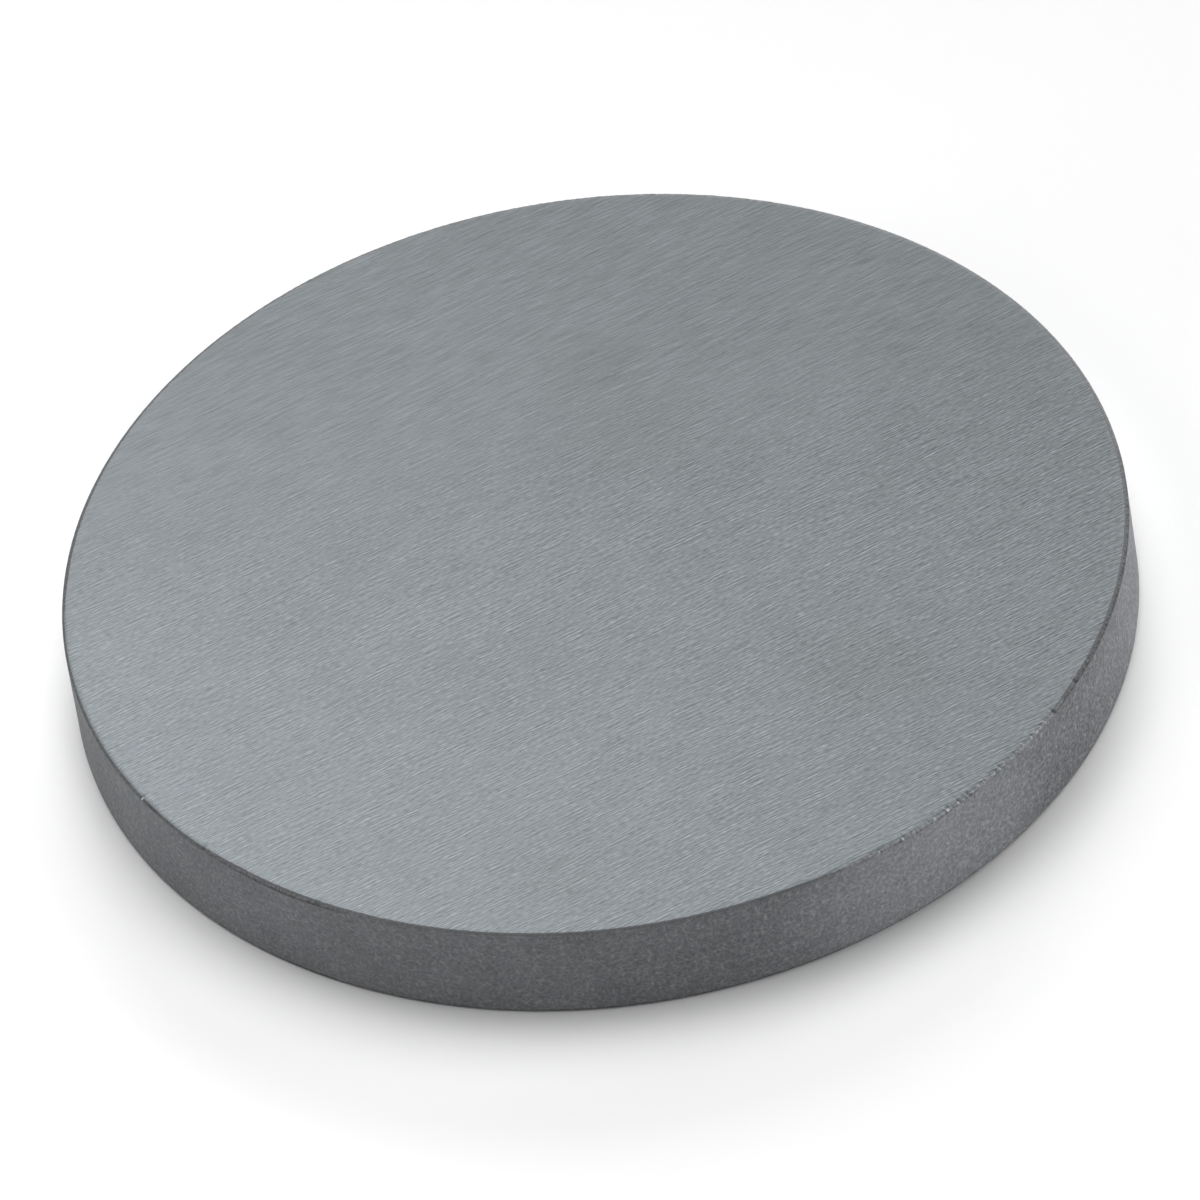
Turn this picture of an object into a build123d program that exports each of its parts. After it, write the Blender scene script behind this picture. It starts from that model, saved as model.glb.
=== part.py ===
from build123d import *

import os

# Monolithic sputtering target: one solid ceramic disc, ground flat on both faces and round
# on its rim, with a small break on both edges so that the brittle corners do not chip.
#
# Frame: origin at the middle of the back face, +Z along the disc's axis towards the face
# that is sputtered, +X along the grinding marks of that face. Lengths are in millimetres.

# Driving dimensions
DISC_DIAMETER = 50.8         # nominal two-inch target
DISC_THICKNESS = 5.0         # from the back face to the front face
FRONT_EDGE_BREAK = 0.2       # leg of the 45 degree break round the front face
BACK_EDGE_BREAK = 0.2        # leg of the 45 degree break round the back face


def disc_section():
    """Half section of the disc in the XZ plane, from the axis out to the rim wall."""
    radius = DISC_DIAMETER / 2
    corners = [
        (0, 0),
        (radius - BACK_EDGE_BREAK, 0),
        (radius, BACK_EDGE_BREAK),
        (radius, DISC_THICKNESS - FRONT_EDGE_BREAK),
        (radius - FRONT_EDGE_BREAK, DISC_THICKNESS),
        (0, DISC_THICKNESS),
    ]
    outline = Plane.XZ * Polyline(corners, close=True)
    return make_face(outline)


def target_disc():
    """The disc, turned from its half section about its own axis."""
    return revolve(disc_section(), axis=Axis.Z, revolution_arc=360)


os.makedirs("parts", exist_ok=True)
export_step(target_disc(), "parts/target_disc.step")
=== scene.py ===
import math

import bmesh
import bpy
from mathutils import Matrix, Vector


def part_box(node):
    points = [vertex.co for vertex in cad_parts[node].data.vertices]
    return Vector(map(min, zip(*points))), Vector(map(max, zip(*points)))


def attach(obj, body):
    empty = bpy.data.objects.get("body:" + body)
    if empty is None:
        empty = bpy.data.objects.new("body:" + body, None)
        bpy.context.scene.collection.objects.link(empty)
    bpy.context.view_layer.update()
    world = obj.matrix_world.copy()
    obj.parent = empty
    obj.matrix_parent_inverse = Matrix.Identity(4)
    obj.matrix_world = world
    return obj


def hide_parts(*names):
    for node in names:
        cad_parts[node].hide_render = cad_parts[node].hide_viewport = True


# A monolithic sputtering target: a ground ceramic disc that lies on its back face. The disc
# is made once more here with its worn edges, and finished with three ground surfaces.
# Metres in the mesh; the materials work in millimetres of the disc.

MM = 0.001

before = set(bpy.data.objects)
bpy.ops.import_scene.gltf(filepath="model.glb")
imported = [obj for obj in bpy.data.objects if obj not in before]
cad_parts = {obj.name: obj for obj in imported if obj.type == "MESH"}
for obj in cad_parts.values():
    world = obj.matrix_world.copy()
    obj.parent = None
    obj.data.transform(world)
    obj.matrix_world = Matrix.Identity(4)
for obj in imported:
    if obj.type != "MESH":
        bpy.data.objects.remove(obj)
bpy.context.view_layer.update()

# The disc, read from the frame
disc_low, disc_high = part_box("target_disc")
RADIUS = (disc_high.x - disc_low.x) / 2
THICKNESS = disc_high.z - disc_low.z

# Edges
EDGE_BREAK = 0.2 * MM                      # reach of the break on both edges, in and down
BREAK_STEPS = 4                            # rings across a break
RIM_STEPS = 4000                           # sides of the disc
FACE_RINGS = (0.07, 0.09, 0.15)            # mm between the rings inside a break, from the rim in
WALL_RINGS = (0.08, 0.2, 0.5)              # mm from a break down or up the wall
SHY = 0.001 * MM                           # the disc stays this much inside the frame's box

# Wear on the edges. Turns are off the picture's right, towards its back
LIP_IN = 0.10 * MM                         # the torn lip of a face, in from the rim
LIP_DOWN = 0.03 * MM                       # and under the face
FRET_REACH = 0.12 * MM                     # both lips are fretted this far to either side
FRET_GRAIN = 0.15 * MM
FRET_DEPTH = 0.03 * MM
BACK_FRET = 0.4                            # the back lip is fretted less deeply, by this share
CHIP_REACH = 0.20 * MM                     # chips and nicks go this far from the lip
CHIP_GRAIN = 0.22 * MM
CHIP_DEPTH = 0.045 * MM
CHIPPED_TURN = math.radians(306)           # middle of the stretch where the front lip is chipped
CHIPPED_SPAN = math.radians(20)            # half of that stretch
CHIPS_ELSEWHERE = 0.2                      # share of their depth on the rest of the front lip
# The pale nicks carry painted glints as well as their paler floor.
NICKS = (                                  # turn, half width and depth in mm, pale (+) or dark (-)
    (201.2, 0.06, 0.03, 0.6),
    (206.2, 0.08, 0.09, 1.0),
    (208.2, 0.70, 0.03, -0.8),
    (217.0, 0.16, 0.06, -0.9),
    (232.7, 0.18, 0.05, -0.7),
    (295.2, 0.07, 0.04, 0.8),
    (298.2, 0.07, 0.07, 0.9),
    (299.7, 0.07, 0.03, 0.7),
    (302.5, 0.08, 0.04, 0.8),
    (304.3, 0.12, 0.05, 0.9),
    (305.8, 0.07, 0.08, 0.9),
    (307.2, 0.10, 0.07, -0.6),
    (309.7, 0.07, 0.04, 0.7),
    (312.2, 0.07, 0.06, 0.8),
    (314.6, 0.07, 0.03, 0.6),
    (317.7, 0.07, 0.05, 0.7),
    (321.9, 0.10, 0.07, -0.8),
    (326.8, 0.13, 0.06, -0.9),
)

# Tones of the ceramic
FACE_TONE = (0.170, 0.190, 0.201)
FACE_GLOSS = 0.2
FACE_ROUGHNESS = (0.56, 0.48)              # low in the marks and high on them
LIP_TONE = (0.104, 0.122, 0.131)           # the last of the face, where it runs over the break
# Painted shade: the faces' tone falls off towards the picture's right and back, as the light does.
FACE_PAINTED_SHADE = (-0.0068, -0.0048)            # change of tone per mm, to the picture's right and back
WALL_TONE = (0.230, 0.238, 0.251)
BREAK_TONE = (0.055, 0.057, 0.060)         # the top of the break where it is ground like the wall
LINE_TONE = (0.083, 0.086, 0.091)          # the dark torn line along a lip
CHIP_TONE = (0.208, 0.214, 0.226)
# Painted glints on the pale nicks: partly the paler floor of fresh chips, partly painted highlights.
PAINTED_GLINT_TONE = (0.50, 0.52, 0.55)
STAIN_TONE = (0.93, 0.90, 0.89)
STAIN_STRENGTH = 0.7
STAINS = (                                 # on the front face: mm along and across the marks, reach in mm
    (5.8, 6.5, 4.5),
    (6.2, 11.3, 3.9),
    (6.2, -14.4, 4.8),
    (-12.0, -18.0, 4.5),
)
# Painted light and shade: the wall is made paler and darker about two turns, where light falls on it.
WALL_PAINTED_LIGHT = (                           # on the wall: turn, reach in mm, change of tone
    (300, 8.5, 0.40),
    (327, 6.0, -0.12),
)
LIP = -0.01                                # mm over the break at which its dark line starts
LIP_SHIFTS = (                             # turn, half spans where a shift starts and is full, mm
    (196, 28, 12, 0.165),
    (305, 22, 14, 0.12),
)
LINE_END = 0.40                            # mm over the break at which the dark line ends
LINE_END_SHIFTS = (
    (198, 32, 16, -0.115),
    (265, 34, 22, -0.30),
    (348, 32, 20, -0.05),
)
# Painted shade: the dark line is made darker still on one stretch of the lip.
PAINTED_SHADE_TURN = math.radians(344)              # middle of the stretch where the line is darkest
PAINTED_SHADE_SPANS = (math.radians(24), math.radians(10))
PAINTED_SHADE_SHARE = 0.5                           # its tone there, of the tone elsewhere
EDGE_BLUR = 0.012                          # mm to either side over which the lip's tones meet
LIP_RAGS = (0.2, 0.2, 0.2)                 # the lip is ragged in steps of this size, mm
RAGGED = 0.055                             # by this much either way, mm
GRIT = (0.13, 0.13, 0.13)                  # grains in the dark line, mm
CHIP_PATCHES = (0.6, 0.6, 0.6)             # patches of pale and dark where it is chipped, mm
BREAK_ROUGHNESS = (0.75, 0.55)

# Grinding marks of the faces: lengths and widths in mm, swings as shares of the face's tone
SHORT_MARKS = (0.30, 0.060, 1)
SHORT_SWING = 0.26
# Painted light and shade: each groove has a paler lit side and a darker shaded side in the tone.
GROOVES = (                                # longer marks: length, width, shift of the pattern, strength
    (0.9, 0.09, 6.0, 0.23),
    (2.0, 0.09, 17.0, 0.265),
)
SHADED_SIDE = 0.05                         # mm from a groove's lit side to its shaded one
SHADED_SHARE = 0.6                         # strength of the shaded side beside the lit one
DRIFT = 0.15                               # mm by which the marks wander sideways, slowly
SHIVER = 0.05                              # and over the length of a few marks
FACES_APART = 9.7                          # mm by which the pattern shifts along X, per mm of height
FADE_OVER = (0, 15)                        # mm behind the axis over which the marks soften
FADED_SHARE = 0.23                         # what is left of their strength
STRONGER_OVER = (-20, 12, 0.90, 1.06)      # mm to the picture's right, from and to, and strength there
SOFT_MARKS = (1.8, 0.15, 1)                # the softer marks that take over there
SOFT_SWING = 0.16
BROAD_MARKS = (1.8, 0.25, 1)               # faint ones all over
BROAD_SWING = 0.033
CLOUDS = (8, 8, 8)
CLOUD_SWING = 0.17
MARK_RELIEF = 0.007

# Grain of the wall
GRAIN = 0.17                               # mm across
GRAIN_SWING = 0.42
WORMS = 0.30                               # mm between the fine pale lines
WORM_TONES = (-0.07, 0.26)                 # change of tone beside a line and on it
SPECKS = 0.19                              # mm between the pale specks
SPECK_TONE = 0.35
CRISPER_OVER = (-22, 18, 0.75, 1.1)        # mm to the picture's right, from and to, and strength there
ROUNDS = (1.3, 1.3, 0.12)                  # the few darker marks that run round it, mm
ROUNDS_TONE = -0.12
WALL_CLOUDS = (3.5, 3.5, 2.2)
WALL_CLOUD_SWING = 0.20
WALL_ROUGHNESS = (0.68, 0.55)              # low in the grain and high on it
GRAIN_RELIEF = 0.022

# Camera, as the photograph was taken
VIEW_AZIMUTH = math.radians(-22.9)         # the grinding marks run this far off the picture's right
VIEW_ELEVATION = math.radians(43.11)
VIEW_ROLL = math.radians(9.516)            # the camera leans clockwise
VIEW_DISTANCE = 846.7 * MM
VIEW_LENS = 535.45                         # long lens, nearly parallel sight lines
AIM_RIGHT = -0.3145 * MM                   # middle of the picture from the middle of the back face
AIM_UP = 1.5257 * MM

# Studio light
FLOOR_WHITE = 0.98
FLOOR_BOUNCE = 0.5
WIDE_LAMPS = (                             # name, turn, height and spread in degrees, share of full light
    ("back_high", 84, 66, 44, 0.52),
    ("back_low", 80, 18, 30, 0.61),
    ("back_right", 50, 18, 30, 0.26),
    ("right_low", 5, 14, 24, 0.28),
    ("front_right", 340, 26, 40, 0.20),
    ("front_low", 265, 14, 24, 0.06),
    ("left_low", 190, 14, 24, 0.13),
)
NEAR_TURN = 205                            # a small softbox close over the left of the disc
NEAR_OUT = 40 * MM
NEAR_UP = 60 * MM
NEAR_SIZE = 60 * MM
NEAR_POWER = 0.0150                        # watts


# Mesh

def select_faces(piece, wanted):
    """In edit mode, select just the faces whose centre and normal pass the test."""
    bpy.ops.mesh.select_mode(type="FACE")
    bpy.ops.mesh.select_all(action="DESELECT")
    mesh = bmesh.from_edit_mesh(piece.data)
    for face in mesh.faces:
        if wanted(face.calc_center_median(), face.normal):
            face.select_set(True)
    mesh.select_flush_mode()
    bmesh.update_edit_mesh(piece.data)


def select_edges(piece, wanted):
    """In edit mode, select just the edges whose two ends pass the test."""
    bpy.ops.mesh.select_mode(type="EDGE")
    bpy.ops.mesh.select_all(action="DESELECT")
    mesh = bmesh.from_edit_mesh(piece.data)
    for edge in mesh.edges:
        edge.select_set(all(wanted(end.co) for end in edge.verts))
    bmesh.update_edit_mesh(piece.data)


def disc_blank():
    """A plain cylinder of the disc's size, standing on the floor."""
    bpy.ops.object.select_all(action="DESELECT")
    bpy.ops.mesh.primitive_cylinder_add(
        vertices=RIM_STEPS, radius=RADIUS - SHY, depth=THICKNESS, end_fill_type="NGON",
        location=(0, 0, disc_low.z + THICKNESS / 2))
    blank = bpy.context.object
    blank.name = "ground_disc"
    blank.data.name = "ground_disc"
    bpy.ops.object.transform_apply(location=True, rotation=True, scale=True)
    return blank


def ring_the_faces(piece):
    """Inset rings inside both faces, the first of them just inside the break to come."""
    flat = math.cos(math.radians(5))
    first, *others = FACE_RINGS
    for side in (1, -1):
        select_faces(piece, lambda centre, normal: normal.z * side > flat)
        bpy.ops.mesh.inset(thickness=EDGE_BREAK + first * MM, depth=0)
        for step in others:
            bpy.ops.mesh.inset(thickness=step * MM, depth=0)


def ring_the_wall(piece):
    """Cut rings round the wall, close together near the two breaks."""
    for step in WALL_RINGS:
        for height in (disc_high.z - EDGE_BREAK - step * MM, disc_low.z + EDGE_BREAK + step * MM):
            bpy.ops.mesh.select_all(action="SELECT")
            bpy.ops.mesh.bisect(plane_co=(0, 0, height), plane_no=(0, 0, 1))


def break_edges(piece):
    """Round over the two sharp edges of the disc."""
    rim = RADIUS - EDGE_BREAK / 2
    near = EDGE_BREAK / 2
    select_edges(piece, lambda p: p.to_2d().length > rim
                 and (p.z > disc_high.z - near or p.z < disc_low.z + near))
    bpy.ops.mesh.bevel(offset=EDGE_BREAK, offset_type="OFFSET", segments=BREAK_STEPS,
                       profile=0.5, affect="EDGES", clamp_overlap=False)


def close_the_middle(piece):
    """Bring each face together at its middle."""
    middle = RADIUS / 10
    select_faces(piece, lambda centre, normal: centre.to_2d().length < middle)
    bpy.ops.mesh.poke()


def make_disc():
    """The whole disc as one closed mesh."""
    disc = disc_blank()
    bpy.ops.object.mode_set(mode="EDIT")
    ring_the_faces(disc)
    ring_the_wall(disc)
    break_edges(disc)
    close_the_middle(disc)
    bpy.ops.mesh.select_all(action="SELECT")
    bpy.ops.mesh.remove_doubles(threshold=0.001 * MM)
    bpy.ops.mesh.normals_make_consistent(inside=False)
    bpy.ops.object.mode_set(mode="OBJECT")
    return disc


def turn_from(place, turn):
    """Radians round the axis, either way, from a place to a turn off the picture's right."""
    own = math.atan2(place.y, place.x) - VIEW_AZIMUTH
    return abs((own - turn + math.pi) % (2 * math.pi) - math.pi)


def near_lip(place, reach):
    """One on the lip of either face, falling to nothing at a reach from it."""
    out = place.to_2d().length - (RADIUS - LIP_IN)
    down = min(disc_high.z - place.z, place.z - disc_low.z) - LIP_DOWN
    return max(0, 1 - (math.hypot(out, down) / reach) ** 2)


def in_front_half(place):
    return place.z > disc_low.z + THICKNESS / 2


def fret_share(place):
    """The lip of the front face is fretted, and that of the back face less so."""
    share = near_lip(place, FRET_REACH)
    return share if in_front_half(place) else BACK_FRET * share


def chip_share(place):
    """The front lip is chipped a little all round, and more along one stretch."""
    off = turn_from(place, CHIPPED_TURN) / CHIPPED_SPAN
    share = near_lip(place, CHIP_REACH) * max(CHIPS_ELSEWHERE, 1 - off ** 4)
    return share if in_front_half(place) else 0


def nick_shares(place):
    """The depth of the nicks in the front lip in mm, and how pale or dark they are."""
    if not in_front_half(place):
        return 0, 0
    depth, tone = 0, 0
    for turn, half_width, deepest, own_tone in NICKS:
        off = turn_from(place, math.radians(turn)) * RADIUS / (half_width * MM)
        if off < 1:
            depth = max(depth, (1 - off ** 2) * deepest)
            tone = (1 - off ** 4) * own_tone
    near = near_lip(place, CHIP_REACH)
    return depth * near, tone * min(1, 2 * near)


def nick_share(place):
    return nick_shares(place)[0]


def press_in(piece, name, share, depth, grain=None, contrast=1.0, level=1.0):
    """Press the surface in along its normals, by shares of a depth and an optional rough pattern."""
    group = piece.vertex_groups.new(name=name)
    for corner in piece.data.vertices:
        weight = share(corner.co)
        if weight > 0:
            group.add([corner.index], min(1, weight), "REPLACE")
    press = piece.modifiers.new(name, "DISPLACE")
    press.vertex_group = name
    press.direction = "NORMAL"
    press.strength = -depth
    press.mid_level = 0
    if grain:
        pattern = bpy.data.textures.new(name, "CLOUDS")
        pattern.noise_scale = grain
        pattern.noise_depth = 1
        pattern.use_clamp = True
        pattern.contrast = contrast
        pattern.intensity = level
        press.texture = pattern
        press.texture_coords = "LOCAL"
    bpy.ops.object.modifier_apply(modifier=press.name)
    piece.vertex_groups.remove(piece.vertex_groups[name])


def wear_edges(piece):
    """Fret both lips, nick and chip the front one, and note how pale or dark the nicks are."""
    marks = piece.data.attributes.new("nick_tone", "FLOAT", "POINT")
    for corner, mark in zip(piece.data.vertices, marks.data):
        mark.value = nick_shares(corner.co)[1]
    press_in(piece, "fretting", fret_share, FRET_DEPTH, grain=FRET_GRAIN)
    press_in(piece, "nicks", nick_share, 1 * MM)
    press_in(piece, "chips", chip_share, CHIP_DEPTH, grain=CHIP_GRAIN, contrast=3.0, level=0.9)


# Materials

class Finish:
    """One material, whose nodes are added by short calls. Places are in mm from the origin."""

    def __init__(self, name):
        self.material = bpy.data.materials.new(name)
        self.material.use_nodes = True
        self.tree = self.material.node_tree
        self.shader = self.tree.nodes["Principled BSDF"]

    def node(self, kind, **settings):
        made = self.tree.nodes.new(kind)
        for setting, value in settings.items():
            setattr(made, setting, value)
        return made

    def feed(self, socket, value):
        """Link a socket to another, or set it to a number, a vector or a colour."""
        if isinstance(value, bpy.types.NodeSocket):
            self.tree.links.new(value, socket)
        elif socket.type == "RGBA" and len(value) == 3:
            socket.default_value = (*value, 1)
        else:
            socket.default_value = value

    def maths(self, operation, *values):
        made = self.node("ShaderNodeMath", operation=operation)
        for socket, value in zip(made.inputs, values):
            self.feed(socket, value)
        return made.outputs["Value"]

    def vectors(self, operation, *values):
        made = self.node("ShaderNodeVectorMath", operation=operation)
        for socket, value in zip(made.inputs, values):
            self.feed(socket, value)
        return made.outputs["Vector"]

    def scaled(self, vector, share):
        made = self.node("ShaderNodeVectorMath", operation="SCALE")
        self.feed(made.inputs["Vector"], vector)
        self.feed(made.inputs["Scale"], share)
        return made.outputs["Vector"]

    def length(self, vector):
        made = self.node("ShaderNodeVectorMath", operation="LENGTH")
        self.feed(made.inputs[0], vector)
        return made.outputs["Value"]

    def aligned(self, vector, way):
        made = self.node("ShaderNodeVectorMath", operation="DOT_PRODUCT")
        self.feed(made.inputs[0], vector)
        self.feed(made.inputs[1], way)
        return made.outputs["Value"]

    def place(self):
        return self.scaled(self.node("ShaderNodeTexCoord").outputs["Object"], 1 / MM)

    def noise(self, place, size, shift=0.0, detail=0.0, coarse=0.5, flat=False):
        """Smooth random values about 0.5, with lumps of a size in mm along X, Y and Z."""
        stretched = self.vectors("MULTIPLY_ADD", place, [1 / side for side in size],
                                 (shift, 1.7 * shift, 0.6 * shift))
        made = self.node("ShaderNodeTexNoise", noise_dimensions="2D" if flat else "3D")
        self.feed(made.inputs["Vector"], stretched)
        made.inputs["Scale"].default_value = 1
        made.inputs["Detail"].default_value = detail
        made.inputs["Roughness"].default_value = coarse
        return made.outputs["Fac"]

    def ramp(self, value, start, end, bottom=0.0, top=1.0):
        """A smooth step of a value between start and end."""
        made = self.node("ShaderNodeMapRange", interpolation_type="SMOOTHSTEP")
        for socket, number in zip(made.inputs, (value, start, end, bottom, top)):
            self.feed(socket, number)
        return made.outputs["Result"]

    def mixed(self, share, first, second):
        made = self.node("ShaderNodeMix", data_type="RGBA")
        self.feed(made.inputs["Factor"], share)
        self.feed(made.inputs["A"], first)
        self.feed(made.inputs["B"], second)
        return made.outputs["Result"]

    def bump(self, height, depth):
        """Raise the surface by a height of 0 to 1 of a depth in mm."""
        made = self.node("ShaderNodeBump")
        made.inputs["Strength"].default_value = 1
        made.inputs["Distance"].default_value = depth * MM
        self.feed(made.inputs["Height"], height)
        self.feed(self.shader.inputs["Normal"], made.outputs["Normal"])


def swing(finish, value, amount):
    """A noise about 0.5, as a tone that swings by an amount either side of 0."""
    return finish.maths("MULTIPLY_ADD", value, 2 * amount, -amount)


def added(finish, first, *others):
    total = first
    for other in others:
        total = finish.maths("ADD", total, other)
    return total


def level_way(turn):
    """The level unit vector at a turn off the picture's right."""
    return math.cos(turn + VIEW_AZIMUTH), math.sin(turn + VIEW_AZIMUTH), 0


def nearness(finish, place, turn):
    """How nearly a place lies at a turn round the axis: the cosine of the angle between them."""
    flat = finish.vectors("NORMALIZE", finish.vectors("MULTIPLY", place, (1, 1, 0)))
    return finish.aligned(flat, level_way(turn))


def stretch(finish, place, turn, outer, inner, top=1.0):
    """Rises to its top about a turn, from one half span round the axis to a smaller one."""
    return finish.ramp(nearness(finish, place, turn), math.cos(outer), math.cos(inner), 0, top)


def by_turn(finish, place, value, shifts):
    """A value that is shifted about some turns round the axis."""
    for turn, outer, inner, shift in shifts:
        spans = math.radians(outer), math.radians(inner)
        shifted = stretch(finish, place, math.radians(turn), *spans, top=shift)
        value = finish.maths("ADD", shifted, value)
    return value


def over_break(finish, place):
    """Mm over a break, across and down together, from where its face ends."""
    out = finish.length(finish.vectors("MULTIPLY", place, (1, 1, 0)))
    middle = (disc_low.z + THICKNESS / 2) / MM
    half = THICKNESS / 2 / MM
    rise = finish.maths("SUBTRACT", finish.aligned(place, (0, 0, 1)), middle)
    inward = finish.maths("SUBTRACT", out, finish.maths("ABSOLUTE", rise))
    return finish.maths("ADD", inward, half - (RADIUS - EDGE_BREAK) / MM)


def past_lip(finish, place, over):
    """One past the ragged lip where the dark line starts, and nothing before it."""
    ragged = swing(finish, finish.noise(place, LIP_RAGS, shift=3.0, detail=1), RAGGED)
    lip = by_turn(finish, place, LIP, LIP_SHIFTS)
    past = finish.maths("SUBTRACT", finish.maths("ADD", over, ragged), lip)
    return finish.ramp(past, -EDGE_BLUR, EDGE_BLUR)


def grinding_marks(finish, place):
    """Tone of the short marks and of grooves with a painted lit and shaded side, about 0, and the relief
    under them.
    """
    relief = finish.noise(place, SHORT_MARKS, shift=1.0, flat=True)
    tone = swing(finish, relief, SHORT_SWING)
    beside = finish.vectors("ADD", place, (0, SHADED_SIDE, 0))
    for along, across, shift, strength in GROOVES:
        lit = finish.noise(place, (along, across, 1), shift=shift, flat=True)
        shaded = finish.noise(beside, (along, across, 1), shift=shift, flat=True)
        level = (SHADED_SHARE - 1) / 2
        # painted light and shade: the lit side of a groove, less its shaded side
        groove = added(finish, lit, finish.maths("MULTIPLY_ADD", shaded, -SHADED_SHARE, level))
        tone = finish.maths("MULTIPLY_ADD", groove, 2 * strength, tone)
        relief = finish.maths("ADD", relief, lit)
    # the brightest marks made brighter still: partly paler scratches, partly painted highlights
    raised = finish.maths("MAXIMUM", tone, 0)
    return finish.maths("MULTIPLY_ADD", raised, raised, tone), relief


def wandering(finish, place):
    """Places on a face, shifted so that marks drawn on them wander and differ from face to face."""
    drift = swing(finish, finish.noise(place, (9, 9, 9), shift=2.0), DRIFT)
    shiver = swing(finish, finish.noise(place, (1.6, 0.9, 1), shift=4.0, flat=True), SHIVER)
    height = finish.aligned(place, (0, 0, 1))
    offset = finish.node("ShaderNodeCombineXYZ")
    finish.feed(offset.inputs["X"], finish.maths("MULTIPLY", height, FACES_APART))
    finish.feed(offset.inputs["Y"], finish.maths("ADD", drift, shiver))
    return finish.vectors("ADD", place, offset.outputs["Vector"])


def stained(finish, place, colour):
    """A colour with the faint stains of the front face over it."""
    for along, across, reach in STAINS:
        off = finish.length(finish.vectors("SUBTRACT", place, (along, across, disc_high.z / MM)))
        darker = finish.vectors("MULTIPLY", colour, STAIN_TONE)
        colour = finish.mixed(finish.ramp(off, reach, 0, 0, STAIN_STRENGTH), colour, darker)
    return colour


def ground_face():
    """Both flat faces: short parallel marks along X, with painted light and shade, over faint clouds and
    stains.
    """
    finish = Finish("ground_face")
    place = finish.place()
    away = finish.aligned(place, level_way(math.pi / 2))
    right = finish.aligned(place, level_way(0))
    bent = wandering(finish, place)

    marks, relief = grinding_marks(finish, bent)
    marks = finish.maths("MULTIPLY", marks, finish.ramp(away, *FADE_OVER, 1, FADED_SHARE))
    marks = finish.maths("MULTIPLY", marks, finish.ramp(right, *STRONGER_OVER))
    soft = swing(finish, finish.noise(bent, SOFT_MARKS, shift=29.0, flat=True), SOFT_SWING)
    soft = finish.maths("MULTIPLY", soft, finish.ramp(away, *FADE_OVER))
    broad = swing(finish, finish.noise(bent, BROAD_MARKS, shift=23.0, flat=True), BROAD_SWING)
    clouds = finish.noise(place, CLOUDS, shift=8.0, detail=4, coarse=0.85)
    clouds = swing(finish, clouds, CLOUD_SWING)
    # painted shade: darker towards the picture's right and back
    painted_shade = finish.maths("MULTIPLY", away, FACE_PAINTED_SHADE[1])
    painted_shade = finish.maths("MULTIPLY_ADD", right, FACE_PAINTED_SHADE[0], painted_shade)
    colour = finish.scaled(FACE_TONE, added(finish, marks, soft, broad, clouds, painted_shade, 1.0))
    colour = stained(finish, place, colour)

    past = past_lip(finish, place, over_break(finish, place))
    finish.feed(finish.shader.inputs["Base Color"], finish.mixed(past, colour, LINE_TONE))
    finish.feed(finish.shader.inputs["Roughness"], finish.ramp(relief, 1.0, 2.0, *FACE_ROUGHNESS))
    finish.shader.inputs["Specular IOR Level"].default_value = FACE_GLOSS
    finish.bump(relief, MARK_RELIEF)
    return finish.material


def wall_tone(finish, place):
    """The tone of the ground wall about 1, with painted light and shade in two places, and the grain in
    it.
    """
    grain = finish.noise(place, (GRAIN, GRAIN, GRAIN), shift=2.0, detail=1, coarse=0.6)
    worms = finish.noise(place, (WORMS, WORMS, WORMS), shift=7.0)
    ridge = finish.maths("ABSOLUTE", swing(finish, worms, 1.0))
    light = finish.ramp(ridge, 0.20, 0.0, *WORM_TONES)
    specks = finish.noise(place, (SPECKS, SPECKS, SPECKS), shift=12.0)
    specks = finish.ramp(specks, 0.64, 0.76, 0, SPECK_TONE)
    crisp = finish.ramp(finish.aligned(place, level_way(0)), *CRISPER_OVER)
    fine = added(finish, swing(finish, grain, GRAIN_SWING), light, specks)
    fine = finish.maths("MULTIPLY", fine, crisp)
    rounds = finish.ramp(finish.noise(place, ROUNDS, shift=15.0), 0.34, 0.22, 0, ROUNDS_TONE)
    clouds = swing(finish, finish.noise(place, WALL_CLOUDS, shift=9.0, detail=2), WALL_CLOUD_SWING)
    tone = added(finish, fine, rounds, clouds, 0.97)
    # painted light and shade on the wall about two turns
    for turn, reach, change in WALL_PAINTED_LIGHT:
        painted_light = stretch(finish, place, math.radians(turn), reach * MM / RADIUS, 0, top=change)
        tone = finish.maths("ADD", tone, painted_light)
    return tone, finish.maths("ADD", grain, finish.maths("MULTIPLY", worms, 0.7))


def ground_wall():
    """The ground rim: fine even grain with paler specks, a few marks that run round it, and painted light
    and shade.
    """
    finish = Finish("ground_wall")
    tone, grain = wall_tone(finish, finish.place())
    finish.feed(finish.shader.inputs["Base Color"], finish.scaled(WALL_TONE, tone))
    finish.feed(finish.shader.inputs["Roughness"], finish.ramp(grain, 0.5, 1.2, *WALL_ROUGHNESS))
    finish.bump(grain, GRAIN_RELIEF)
    return finish.material


def torn_line(finish, place, grit):
    """The line along a lip: dark and gritty, chipped pale for one stretch, and darker with painted shade
    in another.
    """
    chipped = stretch(finish, place, CHIPPED_TURN, CHIPPED_SPAN, CHIPPED_SPAN * 0.6)
    patches = swing(finish, finish.noise(place, CHIP_PATCHES, shift=9.0), 0.5)
    pale = finish.ramp(finish.maths("ADD", chipped, patches), 0.35, 0.75)
    share = finish.ramp(grit, 0.25, 0.75, 0.6, 1.4)
    line = finish.scaled(finish.mixed(pale, LINE_TONE, CHIP_TONE), share)
    # painted shade on one stretch of the line
    darker = finish.scaled(line, finish.maths("MULTIPLY", share, PAINTED_SHADE_SHARE))
    return finish.mixed(stretch(finish, place, PAINTED_SHADE_TURN, *PAINTED_SHADE_SPANS), line, darker)


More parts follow.
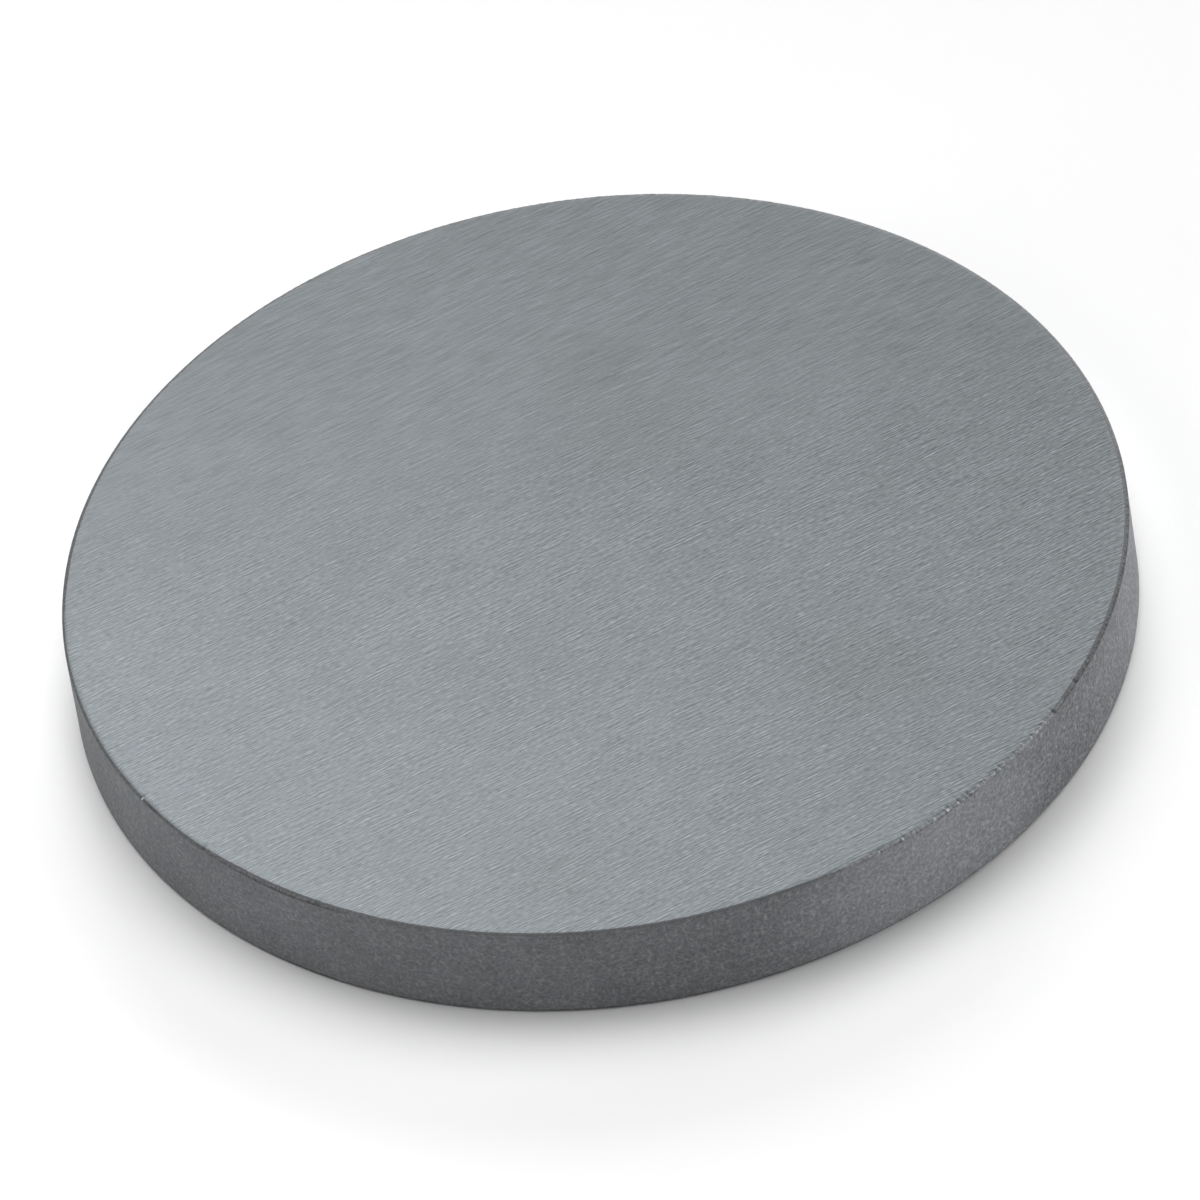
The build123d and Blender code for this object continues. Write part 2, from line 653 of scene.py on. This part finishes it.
def edge_break():
    """The small break on both edges: the torn line along the lip, ground like the wall below it, with
    painted glints.
    """
    finish = Finish("edge_break")
    place = finish.place()
    tone, grain = wall_tone(finish, place)
    over = over_break(finish, place)
    grit = finish.noise(place, GRIT, shift=5.0, detail=2)

    low = finish.scaled(finish.mixed(finish.ramp(over, 0.12, 0.46), BREAK_TONE, WALL_TONE), tone)
    ended = finish.maths("SUBTRACT", over, by_turn(finish, place, LINE_END, LINE_END_SHIFTS))
    body = finish.mixed(finish.ramp(ended, -0.03, 0.05), torn_line(finish, place, grit), low)
    body = finish.mixed(past_lip(finish, place, over), LIP_TONE, body)

    nick = finish.node("ShaderNodeAttribute", attribute_name="nick_tone").outputs["Fac"]
    body = finish.scaled(body, finish.ramp(nick, -0.2, -0.9, 1.0, 0.55))
    # painted glints on the pale nicks
    body_with_painted_glints = finish.mixed(finish.ramp(nick, 0.45, 0.95), body, PAINTED_GLINT_TONE)
    finish.feed(finish.shader.inputs["Base Color"], body_with_painted_glints)
    finish.feed(finish.shader.inputs["Roughness"], finish.ramp(grit, 0.3, 0.7, *BREAK_ROUGHNESS))
    finish.bump(grain, GRAIN_RELIEF)
    return finish.material


def share_out(piece, materials):
    """Give the faces, the wall and the breaks their own materials, by where each polygon faces."""
    for material in materials:
        piece.data.materials.append(material)
    flat = math.cos(math.radians(22))
    steep = math.sin(math.radians(5))
    for face in piece.data.polygons:
        if abs(face.normal.z) > flat:
            face.material_index = 0
        elif abs(face.normal.z) < steep:
            face.material_index = 1
        else:
            face.material_index = 2


# Floor, light and camera

def pale_floor():
    """White as the camera sees it, and a middle grey for the light it throws back on the disc."""
    finish = Finish("pale_floor")
    finish.tree.nodes.remove(finish.shader)
    ray = finish.node("ShaderNodeLightPath")
    paint = finish.node("ShaderNodeBsdfDiffuse")
    seen = finish.mixed(ray.outputs["Is Camera Ray"], (FLOOR_BOUNCE,) * 3, (FLOOR_WHITE,) * 3)
    finish.feed(paint.inputs["Color"], seen)
    finish.feed(finish.tree.nodes["Material Output"].inputs["Surface"], paint.outputs["BSDF"])
    return finish.material


def make_floor(material):
    bpy.ops.mesh.primitive_plane_add(size=4, location=(0, 0, disc_low.z))
    floor = bpy.context.object
    floor.name = "floor"
    floor.data.materials.append(material)


def make_camera():
    turn, rise = VIEW_AZIMUTH, VIEW_ELEVATION
    flat = math.cos(rise)
    back = Vector((math.sin(turn) * flat, -math.cos(turn) * flat, math.sin(rise)))
    level_right = Vector((math.cos(turn), math.sin(turn), 0))
    level_up = back.cross(level_right)
    right = math.cos(VIEW_ROLL) * level_right - math.sin(VIEW_ROLL) * level_up
    up = math.sin(VIEW_ROLL) * level_right + math.cos(VIEW_ROLL) * level_up
    aim = Vector((0, 0, disc_low.z)) + AIM_RIGHT * right + AIM_UP * up
    data = bpy.data.cameras.new("camera")
    data.lens = VIEW_LENS
    data.clip_start = 0.01
    data.clip_end = 10
    camera = bpy.data.objects.new("camera", data)
    bpy.context.scene.collection.objects.link(camera)
    turned = Matrix((right, up, back)).transposed().to_4x4()
    camera.matrix_world = Matrix.Translation(aim + VIEW_DISTANCE * back) @ turned
    bpy.context.scene.camera = camera


def toward(turn, rise):
    """The unit vector to a lamp, by its turn off the picture's right and its height, in degrees."""
    turn, rise = math.radians(turn) + VIEW_AZIMUTH, math.radians(rise)
    flat = math.cos(rise)
    return Vector((math.cos(turn) * flat, math.sin(turn) * flat, math.sin(rise)))


def add_lamp(name, kind, power, aim):
    """A lamp that shines against a vector and isn't seen itself."""
    data = bpy.data.lights.new(name, kind)
    data.energy = power
    lamp = bpy.data.objects.new(name, data)
    lamp.rotation_mode = "QUATERNION"
    lamp.rotation_quaternion = aim.to_track_quat("Z", "Y")
    lamp.visible_camera = False
    bpy.context.scene.collection.objects.link(lamp)
    return lamp


def make_lamps():
    for name, turn, rise, spread, share in WIDE_LAMPS:
        lamp = add_lamp(name, "SUN", math.pi * share, toward(turn, rise))
        lamp.data.angle = math.radians(spread)
    near = add_lamp("near_softbox", "AREA", NEAR_POWER, Vector((0, 0, 1)))
    near.data.shape = "DISK"
    near.data.size = NEAR_SIZE
    near.location = NEAR_OUT * toward(NEAR_TURN, 0) + Vector((0, 0, disc_low.z + NEAR_UP))


def make_world():
    """White to the camera and in reflections, and dark otherwise: the lamps give the light."""
    world = bpy.data.worlds.new("studio")
    world.use_nodes = True
    tree = world.node_tree
    ray = tree.nodes.new("ShaderNodeLightPath")
    seen = tree.nodes.new("ShaderNodeMath")
    seen.operation = "MAXIMUM"
    tree.links.new(ray.outputs["Is Camera Ray"], seen.inputs[0])
    tree.links.new(ray.outputs["Is Glossy Ray"], seen.inputs[1])
    background = tree.nodes["Background"]
    background.inputs["Color"].default_value = (1, 1, 1, 1)
    tree.links.new(seen.outputs["Value"], background.inputs["Strength"])
    bpy.context.scene.world = world


disc = make_disc()
share_out(disc, (ground_face(), ground_wall(), edge_break()))
wear_edges(disc)
bpy.ops.object.shade_smooth_by_angle(angle=math.radians(30))
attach(disc, "root")
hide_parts("target_disc")

make_floor(pale_floor())
make_lamps()
make_world()
make_camera()

bpy.context.scene.view_settings.view_transform = "Standard"
